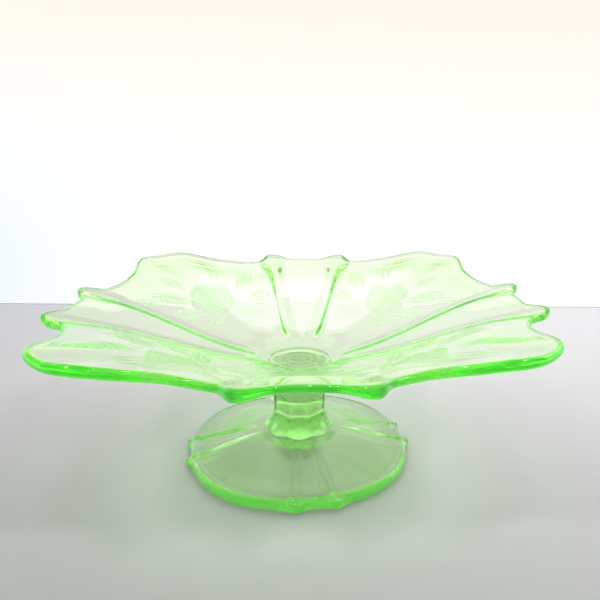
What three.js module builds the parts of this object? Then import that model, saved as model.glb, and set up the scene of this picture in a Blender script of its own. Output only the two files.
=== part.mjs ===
// A footed glass dish: a square, flared bowl with eight ribs, set on an eight-sided stem and a
// ribbed round foot. Bowl, stem and foot are separate pressings, joined hot with two glass wafers.
// Millimetres, +Z up, origin on the table under the middle of the foot. +X and +Y point at the
// middles of two sides of the bowl.

import * as THREE from 'three';

const { smoothstep, clamp, degToRad } = THREE.MathUtils;
const TURN = 2 * Math.PI;
const SIDES = 4;

// Driving dimensions.

const JOINT_GAP = 0.3;              // between the faces of two joined pieces

const RIM_RADIUS = 125.0;           // bowl outline, mean radius
const RIM_OVAL = 4.2;               // wider along X than along Y
const RIM_SQUARE = 10.0;            // reach of the four corners
const RIM_LOBE = 6.6;               // dip on either side of each corner
const RIM_POINT = 2.4;              // rounds the corners and hollows the sides
const RIM_DRIFT = 1.7;              // hand-flared rim stands out further on +X
const RIM_HEIGHT = 32.4;            // lip above the floor of the bowl, mean
const CORNER_RISE = 3.0;            // corners turned up
const LOBE_RISE = 1.7;
const RIM_LEAN = 2.3;               // and the rim is higher on +X
const CONE_SAG = 0.29;              // how far the wall bows from a straight cone

const FLOOR_THICKNESS = 5.0;
const FLOOR_BLEND = 12.0;           // from floor thickness to wall thickness
const WALL_THICKNESS = 3.6;
const LIP_THICKNESS = 4.6;
const CORNER_THICKENING = 0.9;

const RIB_SPREAD = 26.2;            // from the middle of a side to each of its two ribs, at the rim
const RIB_DRIFT = 3.0;              // ribs of the sides that face Y lean towards +X at the rim
const RIB_HALF_WIDTH = 6.5;
const RIB_DEPTH = 1.9;
const NOSE_STAND = 9.2;             // rib ends past the middle of their side
const NOSE_OUTER_WIDTH = 11.0;      // half widths, towards the corner and towards the middle
const NOSE_INNER_WIDTH = 17.0;
const NOSE_DEPTH = 2.2;
const NOSE_LENGTH = 22.0;           // stretch of the rib that swells into its nose

const WAFER_HEIGHT = 4.0;
const WAFER_SEAM = 1.0;             // wafer stands out past the end of the stem
const WAFER_BULGE = 1.2;
const FLOOR_SEAM = 1.3;             // level underside of the bowl stands out past the wafer

const STEM_SIDES = 8;
const STEM_RADIUS = 15.6;           // to the edges between its panels
const STEM_HEIGHT = 21.5;
const STEM_FLARE = 1.0;             // wider at its upper end
const STEM_FLARE_HEIGHT = 3.5;

const COLLAR_HEIGHT = 10.6;
const COLLAR_FOOT_HEIGHT = 4.0;     // upright edge below its flare
const COLLAR_SEAM = 0.6;            // collar stands out past the end of the stem
const COLLAR_FLARE = 3.2;           // and is wider where it meets the foot
const COLLAR_SCALLOP = 0.6;         // depth of the scallops round it, one to a stem panel

const FOOT_RADIUS = 62.8;
const FOOT_LOBE = 1.2;              // foot outline pulls in between its rib pairs
const FOOT_EDGE = 4.7;              // height of the outer edge
const FOOT_HUB_HEIGHT = 15.6;
const FOOT_HUB_SEAM = 0.8;          // hub stands out past the collar
const FOOT_RING_WIDTH = 4.0;        // flat ring that the dish rests on
const FOOT_HUB_WALL = 7.0;          // glass between the hollow under the foot and the collar
const FOOT_HOLLOW_TOP = 20.0;       // radius of its level middle
const FOOT_EDGE_ROUND = 2.2;
const FOOT_TURN = degToRad(8.1);    // foot ribs against bowl ribs
const FOOT_RIB_SPREAD = 11.0;
const FOOT_RIB_HALF_WIDTH = 3.4;
const FOOT_RIB_HEIGHT = 1.4;
const FOOT_NOSE_REACH = 3.0;
const FOOT_NOSE_HALF_WIDTH = 8.5;

// Fineness of the meshes.

const BOWL_RINGS = 9;               // rows between floor and lip
const LIP_STEPS = 5;
const FOOT_RINGS = 6;
const BOWL_STEP = degToRad(4.2);    // widest step between ribs
const FOOT_STEP = degToRad(7.5);
const ROUND_STEPS = 48;

// Heights of the joints, from the foot up.

const COLLAR_BASE = FOOT_HUB_HEIGHT + JOINT_GAP;
const STEM_BASE = COLLAR_BASE + COLLAR_HEIGHT + JOINT_GAP;
const WAFER_BASE = STEM_BASE + STEM_HEIGHT + JOINT_GAP;
const BOWL_BASE = WAFER_BASE + WAFER_HEIGHT + JOINT_GAP;
const FLOOR_LEVEL = BOWL_BASE + FLOOR_THICKNESS;

// Radii of pieces that meet, from the stem outwards.

const STEM_END_RADIUS = STEM_RADIUS + STEM_FLARE;
const WAFER_RADIUS = STEM_END_RADIUS + WAFER_SEAM;
const FLOOR_RADIUS = WAFER_RADIUS + FLOOR_SEAM;
const COLLAR_TOP_RADIUS = STEM_RADIUS + COLLAR_SEAM;
const COLLAR_BOTTOM_RADIUS = COLLAR_TOP_RADIUS + COLLAR_FLARE;
const FOOT_HUB_RADIUS = COLLAR_BOTTOM_RADIUS + COLLAR_SCALLOP + FOOT_HUB_SEAM;
const FOOT_HOLLOW = FOOT_HUB_HEIGHT - FOOT_HUB_WALL;
const FOOT_RING_OUTER = FOOT_RADIUS - FOOT_EDGE_ROUND;
const FOOT_RING_INNER = FOOT_RING_OUTER - FOOT_LOBE - FOOT_RING_WIDTH;

// A rounded ridge: 1 on its crest, 0 from one half width away.
function ridge(distance, halfWidth) {
  const share = Math.min(distance / halfWidth, 1);
  return Math.cos((share * Math.PI) / 2) ** 2;
}

// A pointed ridge of the same width.
function cusp(distance, halfWidth) {
  return (1 - Math.min(distance / halfWidth, 1)) ** 1.5;
}

// Distance to the nearest of some ribs that run out from the axis.
function toRib(ribs, radius, azimuth) {
  const near = ribs.filter((rib) => Math.cos(azimuth - rib) > 0);
  return Math.min(...near.map((rib) => Math.abs(radius * Math.sin(azimuth - rib))));
}

// Azimuths that a ribbed piece is stepped through: close over each rib, wider between ribs.
function steppedAzimuths(ribs, halfAngle, widest) {
  const azimuths = [];
  ribs.forEach((rib, index) => {
    const next = index + 1 < ribs.length ? ribs[index + 1] : ribs[0] + TURN;
    [-1, -0.5, 0, 0.5].forEach((share) => azimuths.push(rib + share * halfAngle));
    const start = rib + halfAngle;
    const span = next - halfAngle - start;
    const count = Math.max(1, Math.round(span / widest));
    for (let step = 0; step < count; step += 1) {
      azimuths.push(start + (span * step) / count);
    }
  });
  return azimuths;
}

// A closed turned body whose vertices are then set by place(radius, level, azimuth).
function turned(profile, azimuths, place) {
  const geometry = new THREE.LatheGeometry(profile, azimuths.length);
  const position = geometry.attributes.position;
  for (let index = 0; index < position.count; index += 1) {
    const azimuth = azimuths[Math.floor(index / profile.length) % azimuths.length];
    const { x, y } = profile[index % profile.length];
    const { radius, height } = place(x, y, azimuth);
    position.setXYZ(index, radius * Math.cos(azimuth), radius * Math.sin(azimuth), height);
  }
  geometry.computeVertexNormals();
  return geometry;
}

function evenAzimuths(count) {
  return Array.from({ length: count }, (_, index) => (TURN * index) / count);
}

function between(start, end, share) {
  return start + (end - start) * share;
}

// Profile of a sheet, from the middle of its underside, round its edge, to the middle of its top.
// x is a radius on the mean outline; y is -1 on the underside, 1 on the top, in between on the edge.
function sheetProfile(radii, edgeRadius, edgeSteps) {
  const under = radii.map((radius) => new THREE.Vector2(radius, -1));
  const edge = Array.from({ length: edgeSteps + 1 }, (_, step) => {
    const angle = Math.PI * (step / edgeSteps - 0.5);
    return new THREE.Vector2(edgeRadius, Math.sin(angle));
  });
  const over = radii.map((radius) => new THREE.Vector2(radius, 1)).reverse();
  return [...under, ...edge, ...over];
}

// Bowl.

function rimRadius(azimuth) {
  return RIM_RADIUS + RIM_DRIFT * Math.cos(azimuth) + RIM_OVAL * Math.cos(2 * azimuth)
    - RIM_SQUARE * Math.cos(4 * azimuth) + RIM_LOBE * Math.cos(8 * azimuth)
    - RIM_POINT * Math.cos(12 * azimuth);
}

function rimLevel(azimuth) {
  return FLOOR_LEVEL + RIM_HEIGHT + RIM_LEAN * Math.cos(azimuth)
    - CORNER_RISE * Math.cos(4 * azimuth) + LOBE_RISE * Math.cos(8 * azimuth);
}

function lipThickness(azimuth) {
  return LIP_THICKNESS - CORNER_THICKENING * Math.cos(4 * azimuth);
}

// Where a side's noses end, and the ribs that run there from the floor.
function noseRadius(side) {
  return rimRadius((TURN * side) / SIDES) + NOSE_STAND;
}

function ribPairMiddle(side) {
  const azimuth = (TURN * side) / SIDES;
  return azimuth - (RIB_DRIFT / noseRadius(side)) * Math.sin(azimuth);
}

function bowlRibs() {
  const ribs = [];
  for (let side = 0; side < SIDES; side += 1) {
    const spread = Math.asin(RIB_SPREAD / noseRadius(side));
    [-spread, spread].forEach((offset) => ribs.push(ribPairMiddle(side) + offset));
  }
  return ribs;
}

const BOWL_RIBS = bowlRibs();

// How far the outline is drawn out over a nose: steep towards the corner, gentle towards the middle.
function noseReach(azimuth) {
  const side = (Math.round((azimuth * SIDES) / TURN) + SIDES) % SIDES;
  const radius = noseRadius(side);
  const across = Math.abs(radius * Math.sin(azimuth - ribPairMiddle(side)));
  const halfWidth = across > RIB_SPREAD ? NOSE_OUTER_WIDTH : NOSE_INNER_WIDTH;
  return (radius - rimRadius(azimuth)) * ridge(Math.abs(across - RIB_SPREAD), halfWidth);
}

// Top of the wall: a cone from the floor to the lip, bowed by one wave of a sine.
function wallTop(radius, azimuth) {
  const share = Math.max(0, (radius - FLOOR_RADIUS) / (rimRadius(azimuth) - FLOOR_RADIUS));
  const rise = share - (CONE_SAG * Math.sin(TURN * Math.min(share, 1))) / TURN;
  const top = rimLevel(azimuth) + lipThickness(azimuth) / 2;
  return between(FLOOR_LEVEL, top, rise);
}

function wallThickness(radius, azimuth) {
  const rim = rimRadius(azimuth);
  const wall = between(FLOOR_THICKNESS, WALL_THICKNESS,
    smoothstep(radius, FLOOR_RADIUS, FLOOR_RADIUS + FLOOR_BLEND));
  return between(wall, lipThickness(azimuth), smoothstep(radius, rim - 2 * NOSE_LENGTH, rim));
}

function ribDepth(radius, azimuth) {
  const rim = rimRadius(azimuth);
  const start = smoothstep(radius, FLOOR_RADIUS, FLOOR_RADIUS + 2 * FLOOR_BLEND);
  const swell = smoothstep(radius, rim - NOSE_LENGTH, rim);
  return start * between(RIB_DEPTH, NOSE_DEPTH, swell);
}

function placeBowl(nominal, level, azimuth) {
  const half = lipThickness(azimuth) / 2;
  const share = Math.max(0, (nominal - FLOOR_RADIUS) / (RIM_RADIUS - FLOOR_RADIUS));
  const wall = between(FLOOR_RADIUS, rimRadius(azimuth) - half, share);
  const overhang = nominal < RIM_RADIUS ? 0 : half * Math.sqrt(1 - level * level);
  const noseStart = 1 - NOSE_LENGTH / (RIM_RADIUS - FLOOR_RADIUS);
  const nose = noseReach(azimuth) * smoothstep(share, noseStart, 1);
  const radius = nominal < FLOOR_RADIUS ? nominal : wall + nose + overhang;
  const thickness = wallThickness(radius, azimuth);
  const rib = ribDepth(radius, azimuth) * ridge(toRib(BOWL_RIBS, radius, azimuth), RIB_HALF_WIDTH);
  const middle = wallTop(radius, azimuth) - thickness / 2;
  const reach = level > 0 ? thickness / 2 : thickness / 2 + rib;
  return { radius, height: middle + level * reach };
}

function bowl() {
  const radii = [0];
  for (let ring = 0; ring < BOWL_RINGS; ring += 1) {
    radii.push(between(FLOOR_RADIUS, RIM_RADIUS, (ring / BOWL_RINGS) ** 0.9));
  }
  const halfAngle = RIB_HALF_WIDTH / RIM_RADIUS;
  const azimuths = steppedAzimuths(BOWL_RIBS, halfAngle, BOWL_STEP);
  return turned(sheetProfile(radii, RIM_RADIUS, LIP_STEPS), azimuths, placeBowl);
}

// Stem and the two wafers.

function wafer() {
  const edge = new THREE.Path();
  edge.moveTo(0, WAFER_BASE);
  edge.lineTo(WAFER_RADIUS, WAFER_BASE);
  edge.quadraticCurveTo(WAFER_RADIUS + 2 * WAFER_BULGE, WAFER_BASE + WAFER_HEIGHT / 2,
    WAFER_RADIUS, WAFER_BASE + WAFER_HEIGHT);
  edge.lineTo(0, WAFER_BASE + WAFER_HEIGHT);
  return turned(edge.getPoints(6), evenAzimuths(ROUND_STEPS), (radius, height) => ({ radius, height }));
}

function stem() {
  const top = STEM_BASE + STEM_HEIGHT;
  const profile = [
    new THREE.Vector2(0, STEM_BASE),
    new THREE.Vector2(STEM_RADIUS, STEM_BASE),
    new THREE.Vector2(STEM_RADIUS, top - STEM_FLARE_HEIGHT),
    new THREE.Vector2(STEM_END_RADIUS, top),
    new THREE.Vector2(0, top),
  ];
  const halfPanel = TURN / STEM_SIDES / 2;
  const azimuths = evenAzimuths(STEM_SIDES).map((azimuth) => azimuth + halfPanel);
  return turned(profile, azimuths, (radius, height) => ({ radius, height }));
}

function collar() {
  const side = new THREE.Path();
  side.moveTo(0, COLLAR_BASE);
  side.lineTo(COLLAR_BOTTOM_RADIUS, COLLAR_BASE);
  side.lineTo(COLLAR_BOTTOM_RADIUS, COLLAR_BASE + COLLAR_FOOT_HEIGHT);
  side.quadraticCurveTo(COLLAR_TOP_RADIUS, COLLAR_BASE + COLLAR_FOOT_HEIGHT,
    COLLAR_TOP_RADIUS, COLLAR_BASE + COLLAR_HEIGHT);
  side.lineTo(0, COLLAR_BASE + COLLAR_HEIGHT);
  const place = (radius, height, azimuth) => {
    const scallop = COLLAR_SCALLOP * Math.cos(STEM_SIDES * azimuth);
    return { radius: radius === 0 ? 0 : radius + scallop, height };
  };
  return turned(side.getPoints(5), evenAzimuths(ROUND_STEPS), place);
}

// Foot.

function footRibs() {
  const ribs = [];
  for (let side = 0; side < SIDES; side += 1) {
    const spread = Math.asin(FOOT_RIB_SPREAD / (FOOT_RADIUS + FOOT_NOSE_REACH));
    [-spread, spread].forEach((offset) => ribs.push(FOOT_TURN + (TURN * side) / SIDES + offset));
  }
  return ribs;
}

const FOOT_RIBS = footRibs();

function footOutline(azimuth) {
  return FOOT_RADIUS - FOOT_LOBE * Math.cos(SIDES * (azimuth - FOOT_TURN));
}

function footTop(radius, azimuth) {
  const rim = footOutline(azimuth);
  const share = clamp((radius - FOOT_HUB_RADIUS) / (rim - FOOT_HUB_RADIUS), 0, 1);
  const rib = FOOT_RIB_HEIGHT * smoothstep(radius, FOOT_HUB_RADIUS, 2 * FOOT_HUB_RADIUS)
    * ridge(toRib(FOOT_RIBS, radius, azimuth), FOOT_RIB_HALF_WIDTH);
  return between(FOOT_HUB_HEIGHT, FOOT_EDGE, share) + rib;
}

// Underside: a level ring to rest on, then a hollow that rises as a smooth step to a level middle.
function footUnder(radius) {
  return FOOT_HOLLOW * (1 - smoothstep(radius, FOOT_HOLLOW_TOP, FOOT_RING_INNER));
}

function placeFoot(nominal, level, azimuth) {
  const outline = footOutline(azimuth) - FOOT_EDGE_ROUND;
  const outer = Math.max(0, (nominal - FOOT_RING_INNER) / (FOOT_RING_OUTER - FOOT_RING_INNER));
  const point = cusp(toRib(FOOT_RIBS, FOOT_RADIUS, azimuth), FOOT_NOSE_HALF_WIDTH);
  const overhang = nominal < FOOT_RING_OUTER ? 0 : FOOT_EDGE_ROUND * Math.sqrt(1 - level * level);
  const ring = between(FOOT_RING_INNER, outline, outer) + FOOT_NOSE_REACH * outer * point;
  const radius = nominal < FOOT_RING_INNER ? nominal : ring + overhang;
  return { radius, height: between(footUnder(nominal), footTop(radius, azimuth), (level + 1) / 2) };
}

function foot() {
  const radii = [0, FOOT_HOLLOW_TOP];
  for (let ring = 0; ring <= FOOT_RINGS; ring += 1) {
    radii.push(between(FOOT_HUB_RADIUS, FOOT_RING_INNER, ring / FOOT_RINGS));
  }
  const halfAngle = FOOT_RIB_HALF_WIDTH / FOOT_RADIUS;
  const azimuths = steppedAzimuths(FOOT_RIBS, halfAngle, FOOT_STEP);
  return turned(sheetProfile(radii, FOOT_RING_OUTER, LIP_STEPS), azimuths, placeFoot);
}

// Assembly. Thin sheets look paler than the thick stem and collar.

const GLASS = { roughness: 0.06, metalness: 0, transparent: true };

function piece(name, geometry, color, opacity) {
  const mesh = new THREE.Mesh(geometry, new THREE.MeshStandardMaterial({ ...GLASS, color, opacity }));
  mesh.name = name;
  return mesh;
}

const dish = new THREE.Group();
dish.name = 'footed_dish';
dish.add(
  piece('bowl', bowl(), 0xb9f29a, 0.5),
  piece('upper_wafer', wafer(), 0x8be066, 0.7),
  piece('stem', stem(), 0x7fdc5c, 0.7),
  piece('collar_wafer', collar(), 0x74d850, 0.7),
  piece('foot', foot(), 0x9be277, 0.6),
);

export default dish;
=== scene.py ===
"""A footed dish of uranium glass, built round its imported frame.

The dish is five pieces joined hot: a square flared bowl with eight ribs under it, a thin wafer, an
eight-sided stem, a scalloped collar and a ribbed round foot. Each piece is one closed surface worked
out on a grid of azimuths and profile rows. Sizes are in millimetres, meshes in metres, +Z is up, and
azimuths are measured from +X.
"""
import logging
import math
from dataclasses import dataclass, field
from enum import Enum
from typing import Any, ClassVar, Mapping, Sequence

import bpy
import numpy as np
from mathutils import Matrix, Vector


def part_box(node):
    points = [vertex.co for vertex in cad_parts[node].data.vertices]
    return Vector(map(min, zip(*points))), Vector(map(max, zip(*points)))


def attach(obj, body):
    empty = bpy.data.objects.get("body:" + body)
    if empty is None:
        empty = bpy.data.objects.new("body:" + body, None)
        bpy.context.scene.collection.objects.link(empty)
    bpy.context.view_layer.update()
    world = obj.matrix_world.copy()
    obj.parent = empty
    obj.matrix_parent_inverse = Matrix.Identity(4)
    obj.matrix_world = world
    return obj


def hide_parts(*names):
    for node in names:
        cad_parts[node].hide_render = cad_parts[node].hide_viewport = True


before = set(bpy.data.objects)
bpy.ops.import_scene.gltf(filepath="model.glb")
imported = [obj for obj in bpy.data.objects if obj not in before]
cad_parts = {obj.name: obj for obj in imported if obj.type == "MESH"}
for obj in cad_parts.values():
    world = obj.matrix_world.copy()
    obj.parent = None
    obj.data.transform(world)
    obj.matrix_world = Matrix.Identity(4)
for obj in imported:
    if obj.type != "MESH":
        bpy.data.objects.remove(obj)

log = logging.getLogger("dish")

MM = 0.001
TURN = 2 * math.pi
SIDES = 4
BODY = "root"
# Neighbouring pieces run into each other by this much, so that no air parts them.
JOINT_OVERLAP = 0.05
# A set of ribs is sampled at this many places for each azimuth that it gives.
FINE_STEPS = 40
# A fillet takes at most this share of an edge.
LONGEST_CUT = 0.45

Colour = tuple[float, float, float]
Point = tuple[float, float, float]
Grid = tuple[np.ndarray, np.ndarray]


# Formulas that several pieces share. They take and give whole arrays.


def smooth(value: np.ndarray, low: Any, high: Any) -> np.ndarray:
    """Rises from 0 at low to 1 at high as 3s^2 - 2s^3."""
    share = np.clip((value - low) / (high - low), 0.0, 1.0)
    return share * share * (3 - 2 * share)


def between(start: Any, end: Any, share: Any) -> Any:
    """The value that lies share of the way from start to end."""
    return start + (end - start) * share


def ridge(distance: np.ndarray, half_width: Any) -> np.ndarray:
    """A rounded ridge: the squared cosine of a quarter turn spread over the half width."""
    return np.cos(np.minimum(distance / half_width, 1.0) * math.pi / 2) ** 2


def cusp(distance: np.ndarray, half_width: float) -> np.ndarray:
    """A pointed ridge: what is left of the half width, to the power one and a half."""
    return (1 - np.minimum(distance / half_width, 1.0)) ** 1.5


def polygon(azimuth: np.ndarray, sides: int, sharpness: float) -> np.ndarray:
    """The outline of a polygon with rounded edges and an apothem of 1.

    It is the p-norm of the cosines of the angles to the sides' normals, to the power -1, where p is
    the sharpness. The first side faces azimuth 0.

    Args:
        azimuth: the azimuths, in radians.
        sides: how many sides.
        sharpness: p, and a higher one gives sharper edges.

    Returns:
        The radius at each azimuth.
    """
    normals = TURN * np.arange(sides) / sides
    facing = np.maximum(np.cos(azimuth[..., None] - normals), 0.0)
    return (facing**sharpness).sum(axis=-1) ** (-1 / sharpness)


@dataclass(frozen=True)
class RibSet:
    """Pairs of ribs that run out from the axis, a pair to each of four sides.

    Attributes:
        spread: from the middle of a side to each of its ribs, at their ends.
        reach: radius at which the ribs of each side end.
        turn: azimuth of the first side, in radians.
        drift: how far the ribs of the sides that face Y lean towards +X at their ends.
    """

    spread: float
    reach: tuple[float, float, float, float]
    turn: float = 0.0
    drift: float = 0.0

    def middles(self) -> np.ndarray:
        """Azimuth of the middle of each side's pair, in radians."""
        azimuth = self.turn + TURN * np.arange(SIDES) / SIDES
        return azimuth - self.drift / np.array(self.reach) * np.sin(azimuth)

    def azimuths(self) -> np.ndarray:
        """The ribs' azimuths, in radians."""
        half = np.arcsin(self.spread / np.array(self.reach))
        return np.stack([self.middles() - half, self.middles() + half], axis=-1).ravel()

    def distance(self, radius: np.ndarray, azimuth: np.ndarray) -> np.ndarray:
        """How far each point is from the nearest rib: radius times the sine of the angle between.

        Args:
            radius: the points' radii.
            azimuth: the points' azimuths, in radians.

        Returns:
            The distances, in the radii's units.
        """
        radius, azimuth = np.broadcast_arrays(radius, azimuth)
        angle = azimuth[..., None] - self.azimuths()
        away = np.where(np.cos(angle) > 0, np.abs(radius[..., None] * np.sin(angle)), np.inf)
        return away.min(axis=-1)

    def stepped(self, count: int, radius: float, half_width: float, closeness: float) -> np.ndarray:
        """Azimuths round the axis, closer together over each rib.

        Equal steps hold equal shares of a density that is 1 between ribs and 1 + closeness on them.

        Args:
            count: how many azimuths.
            radius: the radius at which the half width is measured.
            half_width: how far from a rib the steps are closer.
            closeness: how many more azimuths there are on a rib.

        Returns:
            The azimuths, in radians.
        """
        fine = np.linspace(0, TURN, FINE_STEPS * count + 1)
        density = 1 + closeness * ridge(self.distance(np.full_like(fine, radius), fine), half_width)
        total = np.concatenate([[0.0], np.cumsum((density[1:] + density[:-1]) / 2)])
        return np.interp(np.arange(count) / count, total / total[-1], fine)


# Meshes.


def turned_piece(
    name: str, radius: np.ndarray, height: np.ndarray, azimuth: np.ndarray
) -> bpy.types.Object:
    """Makes a closed piece from rows of points that run from its lower pole to its upper one.

    Row i, column j lies at radius[i, j] and height[i, j] in the direction azimuth[j]. The first and
    last rows are on the axis, and each becomes one point. Faces between two rows wind outwards.

    Args:
        name: the piece's name.
        radius: rows by azimuths, in millimetres.
        height: rows by azimuths, in millimetres.
        azimuth: one for each column, in radians.

    Returns:
        The object, in the scene, at the origin.
    """
    rows, columns = radius.shape[0] - 2, radius.shape[1]
    ring = np.stack(
        [radius * np.cos(azimuth), radius * np.sin(azimuth), height], axis=-1
    )[1:-1].reshape(-1, 3)
    low, high = [0.0, 0.0, height[0, 0]], [0.0, 0.0, height[-1, 0]]
    points = np.concatenate([[low], ring, [high]]) * MM

    at = 1 + np.arange(rows * columns).reshape(rows, columns)
    after = np.roll(at, -1, axis=1)
    quads = np.stack([at[:-1], after[:-1], after[1:], at[1:]], axis=-1).reshape(-1, 4)
    lower = np.stack([np.zeros(columns, int), after[0], at[0]], axis=-1)
    upper = np.stack([np.full(columns, len(points) - 1), at[-1], after[-1]], axis=-1)

    mesh = bpy.data.meshes.new(name)
    mesh.vertices.add(len(points))
    mesh.vertices.foreach_set("co", points.astype(np.float32).ravel())
    corners = np.concatenate([quads.ravel(), lower.ravel(), upper.ravel()])
    sizes = np.concatenate([np.full(len(quads), 4), np.full(2 * columns, 3)])
    mesh.loops.add(len(corners))
    mesh.loops.foreach_set("vertex_index", corners.astype(np.int32))
    mesh.polygons.add(len(sizes))
    mesh.polygons.foreach_set("loop_start", (np.cumsum(sizes) - sizes).astype(np.int32))
    mesh.polygons.foreach_set("loop_total", sizes.astype(np.int32))
    mesh.polygons.foreach_set("use_smooth", np.ones(len(sizes), bool))
    mesh.update(calc_edges=True)
    mesh.validate()
    piece = bpy.data.objects.new(name, mesh)
    bpy.context.scene.collection.objects.link(piece)
    return piece


def sheet_rows(radii: np.ndarray, edge_radius: float, edge_steps: int) -> Grid:
    """Rows of a sheet, from the middle of its underside, round its edge, to the middle of its top.

    A row has a nominal radius and a level, which is -1 underneath, 1 on top, and goes from one to
    the other round the edge as a sine.

    Args:
        radii: nominal radii of the rows inside the edge, from 0 outwards.
        edge_radius: nominal radius of the edge.
        edge_steps: how many steps the edge is turned in.

    Returns:
        The rows' nominal radii and their levels, each as a column.
    """
    edge = np.sin(math.pi * (np.linspace(0, 1, edge_steps + 1) - 0.5))
    nominal = np.concatenate([radii, np.full(len(edge), edge_radius), radii[::-1]])
    level = np.concatenate([-np.ones(len(radii)), edge, np.ones(len(radii))])
    return nominal[:, None], level[:, None]


def filleted(outline: Sequence[tuple[float, float]], fillet: float, steps: int) -> np.ndarray:
    """Rounds the corners of an outline that starts and ends on the axis.

    Each corner is replaced by a quadratic arc that leaves one edge and joins the next at the fillet
    length from the corner, or at under half of a shorter edge.

    Args:
        outline: corners as (radius, height), from the lower pole to the upper one.
        fillet: length cut from each edge.
        steps: steps in each arc.

    Returns:
        The points, as (radius, height) rows.
    """
    corners = np.array(outline, float)
    share = np.linspace(0, 1, steps + 1)[:, None]
    rounded = [corners[:1]]
    for before, corner, after in zip(corners[:-2], corners[1:-1], corners[2:]):
        back, on = before - corner, after - corner
        start = corner + back * min(fillet / np.linalg.norm(back), LONGEST_CUT)
        end = corner + on * min(fillet / np.linalg.norm(on), LONGEST_CUT)
        rounded.append(start * (1 - share) ** 2 + corner * 2 * share * (1 - share) + end * share**2)
    return np.concatenate([*rounded, corners[-1:]])


def with_rows_between(profile: np.ndarray, step: float) -> np.ndarray:
    """Adds evenly spaced points to an outline wherever two neighbours are further apart than step.

    Args:
        profile: points as (radius, height) rows.
        step: the longest distance that is left.

    Returns:
        The points, with the added ones among them.
    """
    parts = []
    for start, end in zip(profile[:-1], profile[1:]):
        count = max(1, math.ceil(np.linalg.norm(end - start) / step))
        parts.append(start + (end - start) * (np.arange(count) / count)[:, None])
    return np.concatenate([*parts, profile[-1:]])


# Shader maths.


class Wire:
    """A shader socket that takes part in Python arithmetic: each operator adds a Math node."""

    def __init__(self, tree: "ShaderTree", socket: bpy.types.NodeSocket) -> None:
        """Holds the tree and the output socket that the value comes from."""
        self.tree = tree
        self.socket = socket

    def maths(self, operation: str, *others: Any, clamp: bool = False) -> "Wire":
        """The Math node of that operation on this value and the others."""
        settings = {"operation": operation, "use_clamp": clamp}
        return self.tree.node("ShaderNodeMath", settings, [self, *others])[0]

    def __add__(self, other: Any) -> "Wire":
        """self + other."""
        return self.maths("ADD", other)

    def __radd__(self, other: Any) -> "Wire":
        """other + self."""
        return self.maths("ADD", other)

    def __sub__(self, other: Any) -> "Wire":
        """self - other."""
        return self.maths("SUBTRACT", other)

    def __rsub__(self, other: float) -> "Wire":
        """other - self, as self times -1, plus other."""
        return self.maths("MULTIPLY_ADD", -1.0, other)

    def __mul__(self, other: Any) -> "Wire":
        """self * other."""
        return self.maths("MULTIPLY", other)

    def __rmul__(self, other: Any) -> "Wire":
        """other * self."""
        return self.maths("MULTIPLY", other)

    def __truediv__(self, other: float) -> "Wire":
        """self / other."""
        return self.maths("DIVIDE", other)

    def __abs__(self) -> "Wire":
        """The value without its sign."""
        return self.maths("ABSOLUTE")

    def clamped(self) -> "Wire":
        """The value kept from 0 to 1."""
        return self.maths("ADD", 0.0, clamp=True)

    def largest(self, other: Any) -> "Wire":
        """The larger of this value and the other."""
        return self.maths("MAXIMUM", other)


class ShaderTree:
    """The nodes of one material or world."""

    def __init__(self, tree: bpy.types.NodeTree) -> None:
        """Takes a tree and empties it."""
        self.tree = tree
        tree.nodes.clear()

    def node(
        self, kind: str, settings: Mapping[str, Any], values: Mapping[Any, Any] | Sequence[Any]
    ) -> list[Wire]:
        """Adds a node.

        Args:
            kind: the node's type.
            settings: its properties, which are set first.
            values: a number, colour or Wire for each input, by name or by place.

        Returns:
            A Wire for each output.
        """
        made = self.tree.nodes.new(kind)
        for key, value in settings.items():
            setattr(made, key, value)
        pairs = values.items() if isinstance(values, Mapping) else enumerate(values)
        for key, value in pairs:
            if isinstance(value, Wire):
                self.tree.links.new(value.socket, made.inputs[key])
            else:
                made.inputs[key].default_value = value
        return [Wire(self, socket) for socket in made.outputs]

    def source(self, kind: str, output: str) -> Wire:
        """The named output of a new node that takes nothing in."""
        return next(wire for wire in self.node(kind, {}, {}) if wire.socket.name == output)

    def object_position(self) -> tuple[Wire, Wire, Wire]:
        """The surface point's x, y and z, in millimetres."""
        values = {"Vector": self.source("ShaderNodeTexCoord", "Object"), "Scale": 1 / MM}
        scaled = self.node("ShaderNodeVectorMath", {"operation": "SCALE"}, values)[0]
        x, y, z = self.node("ShaderNodeSeparateXYZ", {}, [scaled])
        return x, y, z

    def noise(self, size: float, detail: float = 2.0) -> Wire:
        """Noise from 0 to 1 whose grains are size millimetres wide."""
        point = self.source("ShaderNodeTexCoord", "Object")
        values = {"Vector": point, "Scale": 1 / (size * MM), "Detail": detail}
        return self.node("ShaderNodeTexNoise", {}, values)[0]

    def blended(self, share: Wire, first: Wire | Colour, second: Colour) -> Wire:
        """The colour that lies share of the way from first to second."""
        start = first if isinstance(first, Wire) else (*first, 1.0)
        values = {0: share, 6: start, 7: (*second, 1.0)}
        return self.node("ShaderNodeMix", {"data_type": "RGBA"}, values)[2]


def new_material(name: str) -> tuple[bpy.types.Material, ShaderTree]:
    """A new material and its emptied tree."""
    made = bpy.data.materials.new(name)
    made.use_nodes = True
    return made, ShaderTree(made.node_tree)


# Finishes.


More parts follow.
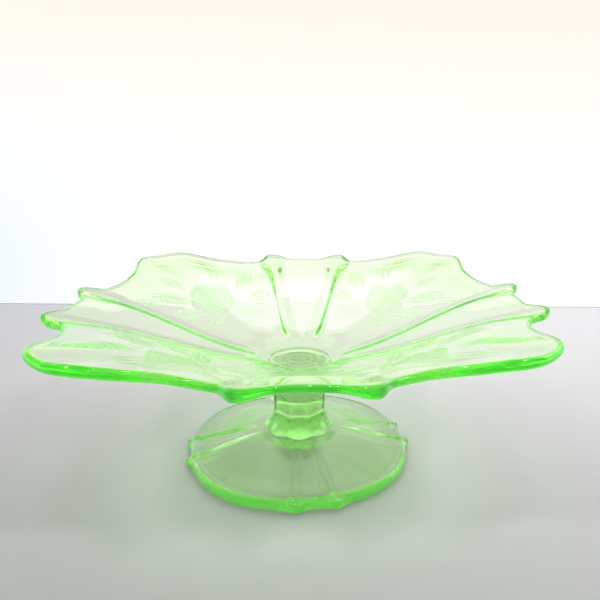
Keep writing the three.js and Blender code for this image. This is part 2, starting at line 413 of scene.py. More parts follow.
@dataclass(frozen=True)
class Glass:
    """What every finish of this glass shares.

    Attributes:
        clear: what the glass lets through, and the rest is taken off by depth.
        depth_rate: how fast the glass takes light off, per metre, where clear is black.
        ior: index of refraction.
        painted_glow: painted light that the glass gives off though it is no lamp; reddish, it stands
            in for the pale haze and highlights on the thick edges.
        painted_frost_glow: painted light that a fully frosted surface gives off, so that the etched
            spray and the grain look pale and lit.
        veil: what a fully frosted surface lets through.
    """

    clear: Colour = (0.63, 0.958, 0.38)
    depth_rate: float = 80.0
    ior: float = 1.52
    painted_glow: Colour = (0.011, 0.004, 0.007)
    painted_frost_glow: Colour = (0.085, 0.1, 0.07)
    veil: Colour = (0.86, 0.95, 0.82)


@dataclass(frozen=True)
class Skin:
    """What a finish makes of the surface.

    Attributes:
        height: height of the surface's relief, in millimetres.
        roughness: its roughness, from 0 to 1.
        frost: how frosted it is, from 0 to 1, which also sets how much painted frosting light the
            surface gives off.
    """

    height: Wire
    roughness: Wire
    frost: Wire


@dataclass(frozen=True)
class PressedFinish:
    """Glass as it leaves the mould, fire polished, with slow waves and a fine grain.

    Attributes:
        name: the material's name.
        polish: roughness where the surface is smoothest.
        grain: roughness that the grain adds.
        grain_size: width of the grain, in millimetres.
        grain_detail: how many finer layers the grain has.
        haze: how frosted the grain makes the surface.
        wave: height of the slow waves, in millimetres.
        wave_size: width of the slow waves, in millimetres.
        glass: the glass underneath.
    """

    name: str
    polish: float = 0.01
    grain: float = 0.03
    grain_size: float = 3.0
    grain_detail: float = 4.0
    haze: float = 0.5
    wave: float = 0.05
    wave_size: float = 14.0
    glass: Glass = field(default_factory=Glass)

    def skin(self, tree: ShaderTree) -> Skin:
        """The surface as it leaves the mould."""
        grain = tree.noise(self.grain_size, self.grain_detail)
        height = tree.noise(self.wave_size) * self.wave
        return Skin(height, grain * self.grain + self.polish, (grain * self.haze).clamped())

    def material(self) -> bpy.types.Material:
        """Builds the material.

        Returns:
            The material: clear glass that takes colour from its depth, whose surface gives off painted
                light, paler where it is frosted.
        """
        made, tree = new_material(self.name)
        skin = self.skin(tree)
        bump = {"Distance": MM, "Height": skin.height, "Strength": 1.0}
        values = {
            "Base Color": tree.blended(skin.frost, (1.0, 1.0, 1.0), self.glass.veil),
            "Roughness": skin.roughness,
            "IOR": self.glass.ior,
            "Transmission Weight": 1.0,
            "Normal": tree.node("ShaderNodeBump", {}, bump)[0],
            # Painted light: the surface gives off faint reddish light on plain glass and pale light
            # where it is frosted.
            "Emission Color": tree.blended(skin.frost, self.glass.painted_glow, self.glass.painted_frost_glow),
            "Emission Strength": 1.0,
        }
        surface = tree.node("ShaderNodeBsdfPrincipled", {}, values)[0]
        depth = {"Color": (*self.glass.clear, 1.0), "Density": self.glass.depth_rate}
        volume = tree.node("ShaderNodeVolumeAbsorption", {}, depth)[0]
        tree.node("ShaderNodeOutputMaterial", {}, {"Surface": surface, "Volume": volume})
        return made


class Leaf(Enum):
    """Leaves of the spray on one half of a panel: (along, across, direction, length, width).

    Along runs out on the panel's middle line and across square to it, in millimetres. The direction
    is in degrees from along towards across.
    """

    INNER = (58.0, 12.0, 118.0, 22.0, 8.0)
    SIDE = (66.0, 27.0, 88.0, 24.0, 9.0)
    OUTER = (84.0, 29.0, 62.0, 25.0, 9.5)
    CREST = (101.0, 17.0, 38.0, 20.0, 7.5)
    TIP = (83.0, 45.0, 84.0, 16.0, 5.5)


@dataclass(frozen=True)
class EtchedFinish(PressedFinish):
    """Pressed glass whose four corner panels carry an etched spray of a rose among leaves.

    Attributes:
        rose_at: the rose's middle, from the axis, on each panel's middle line.
        rose_radius: radius of its outer petals.
        petals: how many petals each ring has.
        rings: radius of each ring of petals, as a share of the outermost.
        notch: how deep the notch between two petals is, as a share of their ring's radius.
        line: width of the clear lines between petals and along veins.
        midrib: half width of a leaf's clear midrib, in lines.
        vein_pitch: distance between the side veins of a leaf.
        vein_contrast: how sharply a leaf clears at its side veins.
        vein_fill: how much of a leaf is etched between them.
        etch_roughness: roughness of what is etched.
        etch_depth: how deep it is etched, in millimetres.
        etch_grain: width of the grain that etching leaves, in millimetres.
    """

    rose_at: float = 80.0
    rose_radius: float = 15.0
    petals: int = 5
    rings: tuple[float, ...] = (1.0, 0.7, 0.42)
    notch: float = 0.14
    line: float = 0.7
    midrib: float = 0.4
    vein_pitch: float = 2.6
    vein_contrast: float = 2.0
    vein_fill: float = 1.6
    etch_roughness: float = 0.45
    etch_depth: float = 0.03
    etch_grain: float = 0.7

    def panel(self, tree: ShaderTree) -> tuple[Wire, Wire]:
        """Coordinates on a corner panel: along its middle line, and across without a sign.

        The azimuth is folded to the nearest corner's, so that all four panels read alike.
        """
        x, y, _ = tree.object_position()
        radius = (x * x + y * y).maths("SQRT")
        folded = (y.maths("ARCTAN2", x) - math.pi / 4).maths("WRAP", math.pi / 4, -math.pi / 4)
        return radius * folded.maths("COSINE"), abs(radius * folded.maths("SINE"))

    def rose(self, along: Wire, across: Wire) -> Wire:
        """Petals in rings: a lobed disc, less a clear line round each ring.

        Between two petals a ring's outline dips by the notch, as the cosine of half the petals'
        angle without its sign, and it is turned by half a petal from one ring to the next.
        """
        u = along - self.rose_at
        radius = (u * u + across * across).maths("SQRT")
        angle = across.maths("ARCTAN2", u)
        mask = None
        for index, ring in enumerate(self.rings):
            turned = angle * (self.petals / 2) + index * math.pi / 2
            petal = abs(turned.maths("COSINE")) * self.notch + (1 - self.notch)
            outline = petal * (ring * self.rose_radius)
            inside = outline - radius
            if mask is None:
                mask = (inside / self.line).clamped()
            else:
                mask = mask * ((abs(inside) - self.line / 2) / (self.line / 2)).clamped()
        return mask

    def leaf(self, along: Wire, across: Wire, leaf: Leaf) -> Wire:
        """A leaf: a lens between two parabolas, with a clear midrib and slanting clear veins."""
        at_along, at_across, direction, length, width = leaf.value
        cos, sin = math.cos(math.radians(direction)), math.sin(math.radians(direction))
        u, v = along - at_along, across - at_across
        s = u * cos + v * sin
        t = abs(v * cos - u * sin)
        half = 1 - (s * (2 / length)).maths("POWER", 2.0)
        inside = ((half * (width / 2) - t) / (self.line / 2)).clamped()
        midrib = (t / self.line - self.midrib).clamped()
        vein = ((s + t) * (TURN / self.vein_pitch)).maths("SINE")
        return inside * midrib * (vein * self.vein_contrast + self.vein_fill).clamped()

    def spray(self, tree: ShaderTree) -> Wire:
        """The spray on each corner panel: the rose and every leaf on both sides of it."""
        along, across = self.panel(tree)
        mask = self.rose(along, across)
        for leaf in Leaf:
            mask = mask.largest(self.leaf(along, across, leaf))
        return mask

    def skin(self, tree: ShaderTree) -> Skin:
        """The pressed surface where the spray is etched in: sunk, grained, rough and frosted."""
        plain = super().skin(tree)
        etch = self.spray(tree)
        grain = etch * tree.noise(self.etch_grain) * self.etch_depth
        height = plain.height - etch * self.etch_depth + grain
        roughness = plain.roughness.largest(etch * self.etch_roughness)
        return Skin(height, roughness, plain.frost.largest(etch))


# Pieces.


def top_of(node: str) -> float:
    """Height of the top of a node of the frame, in millimetres."""
    _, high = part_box(node)
    return (high / MM).z


@dataclass
class Piece:
    """What the pieces of the dish share.

    Attributes:
        node: the frame's node that the piece stands for.
        finish: what it is made of.
    """

    node: ClassVar[str]
    finish: PressedFinish

    def dress(self, piece: bpy.types.Object) -> None:
        """Gives the piece its finish and lets it stand for its node."""
        piece.data.materials.append(self.finish.material())
        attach(piece, BODY)
        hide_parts(self.node)
        points, faces = len(piece.data.vertices), len(piece.data.polygons)
        log.info("%s: %d points, %d faces, %s", piece.name, points, faces, self.finish.name)


@dataclass
class Bowl(Piece):
    """The square flared bowl, with eight ribs underneath that end in rounded noses."""

    node: ClassVar[str] = "bowl"
    base: float
    floor_thickness: float = 5.0
    floor_blend: float = 12.0
    floor_radius: float = 18.9
    wall_thickness: float = 3.6
    lip_thickness: float = 4.6
    corner_thickening: float = 0.9
    rim_radius: float = 125.0
    rim_oval: float = 4.2
    rim_square: float = 10.0
    rim_lobe: float = 6.6
    rim_point: float = 2.4
    corner_flank: float = 1.6
    flank_rise: float = 0.9
    flank_waves: int = 24
    rim_drift: float = 1.7
    rim_height: float = 32.4
    corner_rise: float = 3.0
    lobe_rise: float = 1.7
    rim_lean: float = 2.3
    cone_sag: float = 0.29
    rib_spread: float = 26.2
    rib_drift: float = 3.0
    rib_half_width: float = 6.5
    rib_depth: float = 1.9
    nose_stand: float = 8.95
    nose_outer_width: float = 11.0
    nose_inner_width: float = 17.0
    nose_rib_width: float = 11.5
    nose_depth: float = 2.1
    nose_length: float = 22.0
    columns: int = 600
    column_closeness: float = 5.0
    floor_rows: int = 8
    wall_rows: int = 56
    row_closeness: float = 0.9
    lip_steps: int = 16

    def __post_init__(self) -> None:
        """Works out where the noses end on each side, and the ribs that lead there."""
        ends = self.rim(TURN * np.arange(SIDES) / SIDES) + self.nose_stand
        self.floor_level = self.base + self.floor_thickness
        self.ribs = RibSet(self.rib_spread, tuple(ends.tolist()), drift=self.rib_drift)

    def rim(self, azimuth: np.ndarray) -> np.ndarray:
        """Radius of the rim: a circle, plus cosines of 1, 2, 4, 8 and 12 times the azimuth.

        The flank wave makes the corners' flanks steeper.
        """
        return (
            self.rim_radius
            + self.corner_flank * self.flank(azimuth)
            + self.rim_drift * np.cos(azimuth)
            + self.rim_oval * np.cos(2 * azimuth)
            - self.rim_square * np.cos(4 * azimuth)
            + self.rim_lobe * np.cos(8 * azimuth)
            - self.rim_point * np.cos(12 * azimuth)
        )

    def flank(self, azimuth: np.ndarray) -> np.ndarray:
        """A wave that peaks just inside both edges of a corner, faded out away from the corner."""
        from_corner = np.abs(np.mod(azimuth, TURN / SIDES) - TURN / SIDES / 2)
        return -np.cos(self.flank_waves * azimuth) * ridge(from_corner, TURN / SIDES / 4)

    def rim_level(self, azimuth: np.ndarray) -> np.ndarray:
        """Height of the middle of the lip: level, plus cosines of 1, 4 and 8 times the azimuth.

        The flank wave lifts it just inside both edges of a corner.
        """
        return (
            self.floor_level
            + self.flank_rise * self.flank(azimuth)
            + self.rim_height
            + self.rim_lean * np.cos(azimuth)
            - self.corner_rise * np.cos(4 * azimuth)
            + self.lobe_rise * np.cos(8 * azimuth)
        )

    def lip(self, azimuth: np.ndarray) -> np.ndarray:
        """Thickness of the lip, more at the corners."""
        return self.lip_thickness - self.corner_thickening * np.cos(4 * azimuth)

    def nose(self, azimuth: np.ndarray) -> np.ndarray:
        """How far the rim is drawn out: as far as the side's noses reach, times a rounded ridge.

        The ridge is steep towards the corner and gentle towards the middle of the side.
        """
        side = np.round(azimuth * SIDES / TURN).astype(int) % SIDES
        reach = np.array(self.ribs.reach)[side]
        across = np.abs(reach * np.sin(azimuth - self.ribs.middles()[side]))
        outer = ridge(np.maximum(across - self.rib_spread, 0.0), self.nose_outer_width)
        inner = ridge(np.maximum(self.rib_spread - across, 0.0), self.nose_inner_width)
        return (reach - self.rim(azimuth)) * outer * inner

    def top(self, radius: np.ndarray, azimuth: np.ndarray) -> np.ndarray:
        """Top of the wall: a straight cone from the floor to the lip, bowed by one sine wave."""
        share = np.maximum((radius - self.floor_radius) / (self.rim(azimuth) - self.floor_radius), 0.0)
        rise = share - self.cone_sag * np.sin(TURN * np.minimum(share, 1.0)) / TURN
        return between(self.floor_level, self.rim_level(azimuth) + self.lip(azimuth) / 2, rise)

    def thickness(self, radius: np.ndarray, azimuth: np.ndarray) -> np.ndarray:
        """Thickness of the wall: from the floor's to the wall's, and on to the lip's."""
        rim = self.rim(azimuth)
        thin = smooth(radius, self.floor_radius, self.floor_radius + self.floor_blend)
        wall = between(self.floor_thickness, self.wall_thickness, thin)
        return between(wall, self.lip(azimuth), smooth(radius, rim - 2 * self.nose_length, rim))

    def rib(self, radius: np.ndarray, azimuth: np.ndarray) -> np.ndarray:
        """Depth of the ribs: it grows from the floor, and swells towards the noses."""
        rim = self.rim(azimuth)
        start = smooth(radius, self.floor_radius, self.floor_radius + 2 * self.floor_blend)
        swell = smooth(radius, rim - self.nose_length, rim)
        width = between(self.rib_half_width, self.nose_rib_width, swell)
        across = ridge(self.ribs.distance(radius, azimuth), width)
        return start * between(self.rib_depth, self.nose_depth, swell) * across

    def place(self, nominal: np.ndarray, level: np.ndarray, azimuth: np.ndarray) -> Grid:
        """Places rows of the sheet.

        The nominal radius is stretched to the rim, drawn out over the noses, and rounded off at the
        lip by a half circle. The height is the middle of the wall, plus the level times half its
        thickness, less the ribs underneath.

        Args:
            nominal: the rows' nominal radii.
            level: the rows' levels, from -1 underneath to 1 on top.
            azimuth: the columns' azimuths, in radians.

        Returns:
            Radius and height of each point.
        """
        half = self.lip(azimuth) / 2
        span = self.rim_radius - self.floor_radius
        share = np.maximum((nominal - self.floor_radius) / span, 0.0)
        wall = between(self.floor_radius, self.rim(azimuth) - half, share)
        nose = self.nose(azimuth) * smooth(share, 1 - self.nose_length / span, 1.0)
        overhang = np.where(nominal < self.rim_radius, 0.0, half * np.sqrt(1 - level**2))
        radius = np.where(nominal < self.floor_radius, nominal, wall + nose + overhang)
        thickness = self.thickness(radius, azimuth)
        under = np.where(level > 0, 0.0, self.rib(radius, azimuth))
        middle = self.top(radius, azimuth) - thickness / 2
        height = middle + level * (thickness / 2 + under)
        return radius, height

    def build(self) -> bpy.types.Object:
        """Builds the bowl on rows that lie closer together at the rim."""
        floor = np.linspace(0, self.floor_radius, self.floor_rows, endpoint=False)
        share = np.arange(self.wall_rows) / self.wall_rows
        share = np.sin(share * math.pi / 2) ** self.row_closeness
        wall = between(self.floor_radius, self.rim_radius, share)
        nominal, level = sheet_rows(np.concatenate([floor, wall]), self.rim_radius, self.lip_steps)
        azimuth = self.ribs.stepped(
            self.columns, self.rim_radius, 3 * self.rib_half_width, self.column_closeness
        )
        radius, height = self.place(nominal, level, azimuth[None, :])
        return turned_piece("glass_bowl", radius, height, azimuth)


@dataclass
class Wafer(Piece):
    """The thin wafer of glass that joins the bowl to the stem."""

    node: ClassVar[str] = "upper_wafer"
    low: float
    high: float
    radius: float = 17.6
    bulge: float = 1.2
    ripple: float = 0.12
    ripples: int = 4
    ripple_steps: int = 5
    columns: int = 192
    rows: int = 12

    def build(self) -> bpy.types.Object:
        """Builds the wafer: level faces with concentric ripples, and a side that bulges as a sine."""
        face = np.linspace(0, self.radius, self.ripple_steps * self.ripples + 1)
        bulge = np.linspace(0, 1, self.rows + 1)[1:-1]
        side = self.radius + self.bulge * np.sin(math.pi * bulge)
        radius = np.concatenate([face, side, face[::-1]])
        wave = self.ripple * (1 - np.cos(TURN * self.ripples * face / self.radius)) / 2
        rise = between(self.low, self.high, bulge)
        height = np.concatenate([np.full(len(face), self.low), rise, (self.high - wave)[::-1]])
        azimuth = TURN * np.arange(self.columns) / self.columns
        shape = (len(radius), self.columns)
        return turned_piece(
            "glass_upper_wafer",
            np.broadcast_to(radius[:, None], shape),
            np.broadcast_to(height[:, None], shape),
            azimuth,
        )


@dataclass
class Stem(Piece):
    """The short eight-sided stem, a little wider at its top."""

    node: ClassVar[str] = "stem"
    low: float
    high: float
    sides: int = 8
    edge_radius: float = 15.6
    flare: float = 1.0
    flare_height: float = 3.5
    sharpness: float = 90.0
    columns: int = 384
    step: float = 0.5
    fillet: float = 0.5
    fillet_steps: int = 4

    def build(self) -> bpy.types.Object:
        """Builds the stem: a rounded octagon whose radius swells as a smooth step at the top."""
        outline = [(0.0, self.low), (1.0, self.low), (1.0, self.high), (0.0, self.high)]
        profile = with_rows_between(filleted(outline, self.fillet, self.fillet_steps), self.step)
        share, height = profile[:, :1], profile[:, 1:]
        swell = self.flare * (1 - smooth(self.high - height, 0.0, self.flare_height))
        azimuth = TURN * np.arange(self.columns) / self.columns
        apothem = (self.edge_radius + swell) * math.cos(math.pi / self.sides)
        radius = share * apothem * polygon(azimuth, self.sides, self.sharpness)[None, :]
        return turned_piece("glass_stem", radius, np.broadcast_to(height, radius.shape), azimuth)


@dataclass
class Collar(Piece):
    """The flared collar between stem and foot, with one petal to each panel of the stem."""

    node: ClassVar[str] = "collar_wafer"
    low: float
    high: float
    top_radius: float = 15.7
    flare: float = 4.4
    flare_power: float = 2.4
    petals: int = 8
    petal_depth: float = 2.6
    petal_dip: float = 1.4
    dip_width: float = 2.0
    sharpness: float = 90.0
    fillet: float = 0.6
    fillet_steps: int = 4
    columns: int = 384
    step: float = 0.45

    def build(self) -> bpy.types.Object:
        """Builds the collar.

        Its side runs from the stem's octagon at the top to petals at the bottom. A petal is the
        cosine of half the petals' angle, without its sign. The side flares as a power of the share
        of the height below the top, and between the panels the upper edge dips.
        """
        span = self.high - self.low
        wide = self.top_radius
        outline = [(0.0, self.low), (wide, self.low), (wide, self.high), (0.0, self.high)]
        profile = with_rows_between(filleted(outline, self.fillet, self.fillet_steps), self.step)
        reach, height = profile[:, :1] / self.top_radius, profile[:, 1:]
        azimuth = TURN * np.arange(self.columns) / self.columns
        down = (self.high - height) / span
        panel = math.cos(math.pi / self.petals) * polygon(azimuth, self.petals, self.sharpness)
        petal = 1 - np.abs(np.cos(azimuth * self.petals / 2))
        side = between(self.top_radius * panel, self.top_radius - self.petal_depth * petal, down)
        radius = reach * (side + self.flare * down**self.flare_power)
        edge = smooth(radius, self.top_radius - self.dip_width, self.top_radius) * (1 - down) ** 2
        return turned_piece("glass_collar", radius, height - self.petal_dip * petal * edge, azimuth)


@dataclass
class Foot(Piece):
    """The round foot: a shallow cone with paired ribs on top, hollow beneath, on a flat ring."""

    node: ClassVar[str] = "foot"
    hub_height: float
    radius: float = 62.8
    lobe: float = 1.2
    edge: float = 4.7
    hub_radius: float = 20.8
    ring_width: float = 4.0
    hollow: float = 8.6
    hollow_top: float = 20.0
    edge_round: float = 2.2
    edge_squareness: float = 2.6
    bead: float = 1.0
    bead_half_width: float = 3.2
    turn: float = math.radians(8.1)
    rib_spread: float = 11.0
    rib_half_width: float = 3.4
    rib_height: float = 1.4
    rib_left: float = 0.45
    fade_inside: float = 2.0
    fade_outside: float = 3.0
    nose_reach: float = 3.0
    nose_half_width: float = 8.5
    columns: int = 520
    column_closeness: float = 3.0
    inner_rows: int = 14
    cone_rows: int = 44
    ring_rows: int = 8
    edge_steps: int = 14

    def __post_init__(self) -> None:
        """Works out the ring that the dish rests on, and the ribs."""
        self.ring_outer = self.radius - self.edge_round
        self.ring_inner = self.ring_outer - self.lobe - self.ring_width
        self.ribs = RibSet(self.rib_spread, (self.radius + self.nose_reach,) * SIDES, self.turn)

    def outline(self, azimuth: np.ndarray) -> np.ndarray:
        """Radius of the edge: a circle less a cosine of 4 times the azimuth."""
        return self.radius - self.lobe * np.cos(SIDES * (azimuth - self.turn))

    def top(self, radius: np.ndarray, azimuth: np.ndarray) -> np.ndarray:
        """Top of the foot: a straight cone from the hub to the edge, plus rounded ribs and a bead.

        The ribs grow from the hub, and at the edge's rounding they fade to what is left of them.
        """
        share = np.clip((radius - self.hub_radius) / (self.outline(azimuth) - self.hub_radius), 0, 1)
        grow = smooth(radius, self.hub_radius, 2 * self.hub_radius)
        across = ridge(self.ribs.distance(radius, azimuth), self.rib_half_width)
        beyond = radius - (self.outline(azimuth) - self.edge_round)
        bead = self.bead * ridge(np.abs(beyond), self.bead_half_width)
        fade = between(1.0, self.rib_left, smooth(beyond, -self.fade_inside, self.fade_outside))
        rib = self.rib_height * grow * across * fade
        return between(self.hub_height, self.edge, share) + rib + bead

    def under(self, nominal: np.ndarray) -> np.ndarray:
        """Underside: a level ring, then a hollow that rises as a smooth step to a level middle."""
        return self.hollow * (1 - smooth(nominal, self.hollow_top, self.ring_inner))

    def place(self, nominal: np.ndarray, level: np.ndarray, azimuth: np.ndarray) -> Grid:
        """Places rows of the foot between its underside and its top.

        Args:
            nominal: the rows' nominal radii.
            level: the rows' levels, from -1 underneath to 1 on top.
            azimuth: the columns' azimuths, in radians.

        Returns:
            Radius and height of each point.
        """
        outer = np.maximum((nominal - self.ring_inner) / (self.ring_outer - self.ring_inner), 0.0)
        from_rib = self.ribs.distance(np.full_like(azimuth, self.radius), azimuth)
        point = self.nose_reach * cusp(from_rib, self.nose_half_width)
        rounded = (1 - np.abs(level) ** self.edge_squareness) ** (1 / self.edge_squareness)
        overhang = np.where(nominal < self.ring_outer, 0.0, self.edge_round * rounded)
        ring = between(self.ring_inner, self.outline(azimuth) - self.edge_round, outer)
        radius = np.where(nominal < self.ring_inner, nominal, ring + outer * point + overhang)
        height = between(self.under(nominal), self.top(radius, azimuth), (level + 1) / 2)
        return radius, height

    def build(self) -> bpy.types.Object:
        """Builds the foot on rows for its middle, its cone and its ring."""
        inner = np.linspace(0, self.hub_radius, self.inner_rows, endpoint=False)
        cone = np.linspace(self.hub_radius, self.ring_inner, self.cone_rows, endpoint=False)
        ring = np.linspace(self.ring_inner, self.ring_outer, self.ring_rows, endpoint=False)
        radii = np.concatenate([inner, cone, ring])
        nominal, level = sheet_rows(radii, self.ring_outer, self.edge_steps)
        azimuth = self.ribs.stepped(
            self.columns, self.radius, 3 * self.rib_half_width, self.column_closeness
        )
        radius, height = self.place(nominal, level, azimuth[None, :])
        return turned_piece("glass_foot", radius, height, azimuth)


# Studio.


@dataclass(frozen=True)
class Lamp:
    """A soft rectangular lamp that the camera doesn't see.

    Attributes:
        name: the lamp's name.
        place: its middle, in millimetres.
        aim: the point it faces, in millimetres.
        size: width and height, in millimetres.
        radiance: how bright its surface is.
        colour: its colour.
    """

    name: str
    place: Point
    aim: Point
    size: tuple[float, float]
    radiance: float
    colour: Colour = (1.0, 1.0, 1.0)

    def build(self) -> None:
        """Adds the lamp, facing its aim."""
        light = bpy.data.lights.new(self.name, "AREA")
        light.shape = "RECTANGLE"
        light.size, light.size_y = self.size[0] * MM, self.size[1] * MM
        light.energy = self.radiance * math.pi * light.size * light.size_y
        light.color = self.colour
        made = bpy.data.objects.new(self.name, light)
        bpy.context.scene.collection.objects.link(made)
        place = Vector(self.place)
        made.rotation_mode = "QUATERNION"
        made.rotation_quaternion = (Vector(self.aim) - place).to_track_quat("-Z", "Y")
        made.location = place * MM
        made.visible_camera = False


class Window(Enum):
    """The windows that the glass mirrors: (their middle's x, their width), in millimetres."""

    LEFT = (-360.0, 95.0)
    MIDDLE = (0.0, 35.0)
    RIGHT = (380.0, 110.0)


@dataclass
class Studio:
    """A pale table in front of a luminous backdrop, under soft lamps.

    The backdrop is cooler to the left of cool_side and below cool_top, and warmer above warm_base.
    Each of those tints sets in over a span of its own.
    """

    table_depth: float = 2400.0
    table_width: float = 5200.0
    table_back: float = 300.0
    table_drop: float = 0.4
    table_albedo: Colour = (0.71, 0.71, 0.735)
    table_roughness: float = 0.65
    backdrop_height: float = 380.0
    backdrop_light: float = 1.04
    cool_tint: Colour = (0.8, 0.88, 0.97)
    cool_side: float = -150.0
    cool_side_span: float = 250.0
    cool_top: float = 260.0
    cool_top_span: float = 200.0
    warm_tint: Colour = (1.0, 0.9, 0.8)
    warm_base: float = 120.0
    warm_span: float = 220.0
    room_light: float = 0.2
    room_tint: Colour = (1.0, 0.985, 0.965)
    window_y: float = -350.0
    window_level: float = 700.0
    window_height: float = 90.0
    window_aim: Point = (0.0, 0.0, 80.0)
    window_light: float = 27.0
    strip: Lamp = Lamp(
        "ceiling_strip", (440.0, 220.0, 400.0), (440.0, 220.0, 399.0), (1300.0, 260.0), 2.3
    )
    passed_light: Lamp = Lamp(
        "bowl_glow", (0.0, 0.0, 46.0), (0.0, 0.0, 0.0), (170.0, 170.0), 0.34, (0.7, 1.0, 0.74)
    )
    bounces: int = 32
    glossy_bounces: int = 24
    transparent_bounces: int = 16

    def plane(self, name: str, corners: Sequence[Point]) -> bpy.types.Object:
        """Adds a four-cornered plane, corners in millimetres."""
        mesh = bpy.data.meshes.new(name)
        points = [tuple(MM * part for part in corner) for corner in corners]
        mesh.from_pydata(points, [], [(0, 1, 2, 3)])
        made = bpy.data.objects.new(name, mesh)
        bpy.context.scene.collection.objects.link(made)
        return made

    def table(self) -> None:
        """The table that the dish stands on."""
        side, back, down = self.table_width / 2, self.table_back, -self.table_drop
        front = back - self.table_depth
        corners = [(-side, front, down), (side, front, down), (side, back, down), (-side, back, down)]
        made = self.plane("table", corners)
        finish, tree = new_material("matt_table")
        values = {"Base Color": (*self.table_albedo, 1.0), "Roughness": self.table_roughness}
        surface = tree.node("ShaderNodeBsdfPrincipled", {}, values)[0]
        tree.node("ShaderNodeOutputMaterial", {}, {"Surface": surface})
        made.data.materials.append(finish)

    def backdrop(self) -> None:
        """The luminous backdrop, which gives light from its front only."""
        side, back, top = self.table_width / 2, self.table_back, self.backdrop_height
        corners = [(-side, back, 0), (side, back, 0), (side, back, top), (-side, back, top)]
        made = self.plane("backdrop", corners)
        finish, tree = new_material("luminous_backdrop")
        x, _, z = tree.object_position()
        beside = ((self.cool_side - x) / self.cool_side_span).clamped()
        cool = beside * ((self.cool_top - z) / self.cool_top_span).clamped()
        warm = ((z - self.warm_base) / self.warm_span).clamped()
        tint = tree.blended(cool, tree.blended(warm, (1.0, 1.0, 1.0), self.warm_tint), self.cool_tint)
        light = {"Color": tint, "Strength": self.backdrop_light}
        front = tree.node("ShaderNodeEmission", {}, light)[0]
        back_side = tree.node("ShaderNodeBsdfTransparent", {}, {})[0]
        facing = tree.source("ShaderNodeNewGeometry", "Backfacing")
        surface = tree.node("ShaderNodeMixShader", {}, [facing, front, back_side])[0]
        tree.node("ShaderNodeOutputMaterial", {}, {"Surface": surface})
        made.data.materials.append(finish)

    def room(self) -> None:
        """Even light from all round."""
        world = bpy.data.worlds.new("room")
        bpy.context.scene.world = world
        world.use_nodes = True
        tree = ShaderTree(world.node_tree)
        values = {"Color": (*self.room_tint, 1.0), "Strength": self.room_light}
        surface = tree.node("ShaderNodeBackground", {}, values)[0]
        tree.node("ShaderNodeOutputWorld", {}, {"Surface": surface})

    def lamps(self) -> list[Lamp]:
        """The windows in front, the strip overhead, and the light that the bowl passes on."""
        windows = [
            Lamp(
                f"{window.name.lower()}_window",
                (window.value[0], self.window_y, self.window_level),
                self.window_aim,
                (window.value[1], self.window_height),
                self.window_light,
            )
            for window in Window
        ]
        return [*windows, self.strip, self.passed_light]

    def build(self) -> None:
        """Builds table, backdrop, room light and lamps, and sets how light is followed."""
        self.table()
        self.backdrop()
        self.room()
        lamps = self.lamps()
        for lamp in lamps:
            lamp.build()
        scene = bpy.context.scene
        scene.view_settings.view_transform = "Standard"
        scene.cycles.max_bounces = self.bounces
        scene.cycles.transmission_bounces = self.bounces
        scene.cycles.glossy_bounces = self.glossy_bounces
        scene.cycles.transparent_max_bounces = self.transparent_bounces
        log.info("studio: table, backdrop, room light and %d lamps", len(lamps))


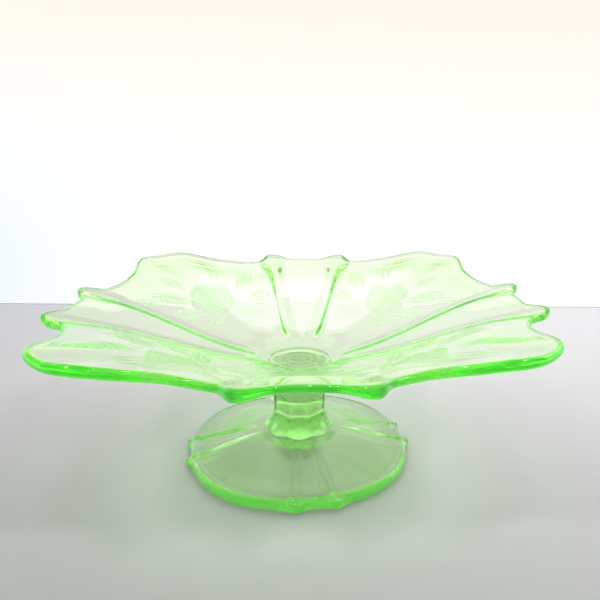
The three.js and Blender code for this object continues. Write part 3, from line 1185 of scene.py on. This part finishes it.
@dataclass
class ViewPoint:
    """The camera, in front of the dish and a little above it.

    Attributes:
        place: where it stands, in millimetres.
        yaw: how far it is turned to the left, in radians.
        pitch: how far it looks down, in radians.
        roll: how far it is rolled, in radians.
        lens: focal length, in millimetres.
        sensor: width of its sensor, in millimetres.
        shift: how far the lens is shifted, in widths of the picture.
        clip: the nearest and the farthest that it sees, in metres.
    """

    place: Point = (0.57, -315.87, 179.28)
    yaw: float = -0.0843
    pitch: float = 0.2391
    roll: float = 0.029745
    lens: float = 35.383
    sensor: float = 36.0
    shift: tuple[float, float] = (-0.08333, -0.03333)
    clip: tuple[float, float] = (0.01, 20.0)

    def build(self) -> None:
        """Adds the camera: turned by its yaw, tipped down by its pitch, then rolled."""
        right = Vector((math.cos(self.yaw), math.sin(self.yaw), 0.0))
        level = Vector((-math.sin(self.yaw), math.cos(self.yaw), 0.0))
        ahead = level * math.cos(self.pitch) - Vector((0, 0, 1)) * math.sin(self.pitch)
        up = right.cross(ahead)
        across = right * math.cos(self.roll) + up * math.sin(self.roll)
        upward = up * math.cos(self.roll) - right * math.sin(self.roll)
        lens = bpy.data.cameras.new("camera")
        lens.lens, lens.sensor_width = self.lens, self.sensor
        lens.shift_x, lens.shift_y = self.shift
        lens.clip_start, lens.clip_end = self.clip
        camera = bpy.data.objects.new("camera", lens)
        bpy.context.scene.collection.objects.link(camera)
        turn = Matrix((across, upward, -ahead)).transposed()
        camera.matrix_world = Matrix.Translation(Vector(self.place) * MM) @ turn.to_4x4()
        bpy.context.scene.camera = camera
        log.info("camera: %s mm", self.place)


def main() -> None:
    """Builds the dish round its frame, then the studio and the camera."""
    logging.basicConfig(level=logging.INFO, format="%(name)s: %(message)s")
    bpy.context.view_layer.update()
    wafer_top, stem_top = top_of("upper_wafer"), top_of("stem")
    collar_top, foot_top = top_of("collar_wafer"), top_of("foot")

    etched = EtchedFinish("etched_uranium_glass")
    pressed = PressedFinish(
        "pressed_uranium_glass_painted_shade",
        wave=0.2,
        wave_size=6.0,
        # Painted shade: the stem, collar and wafer get a darker copy of the bowl's glass, less green
        # and quicker to take light off, to darken them against the lamp under the bowl.
        glass=Glass(clear=(0.58, 0.83, 0.4), depth_rate=90.0),
    )
    matt_painted_light = PressedFinish(
        "brushed_uranium_glass_painted_light",
        polish=0.1,
        grain=0.16,
        grain_size=2.0,
        # Painted light: the foot gets a paler copy of the bowl's glass, slower to take light off,
        # which lightens it in place of the pale light on its rough top.
        glass=Glass(clear=(0.58, 0.95, 0.36), depth_rate=55.0),
    )
    pieces = [
        Bowl(etched, wafer_top - JOINT_OVERLAP),
        Wafer(pressed, stem_top - JOINT_OVERLAP, wafer_top),
        Stem(pressed, collar_top - JOINT_OVERLAP, stem_top),
        Collar(pressed, foot_top - JOINT_OVERLAP, collar_top),
        Foot(matt_painted_light, foot_top),
    ]
    for part in pieces:
        part.dress(part.build())
    Studio().build()
    ViewPoint().build()


if __name__ == "__main__":
    main()
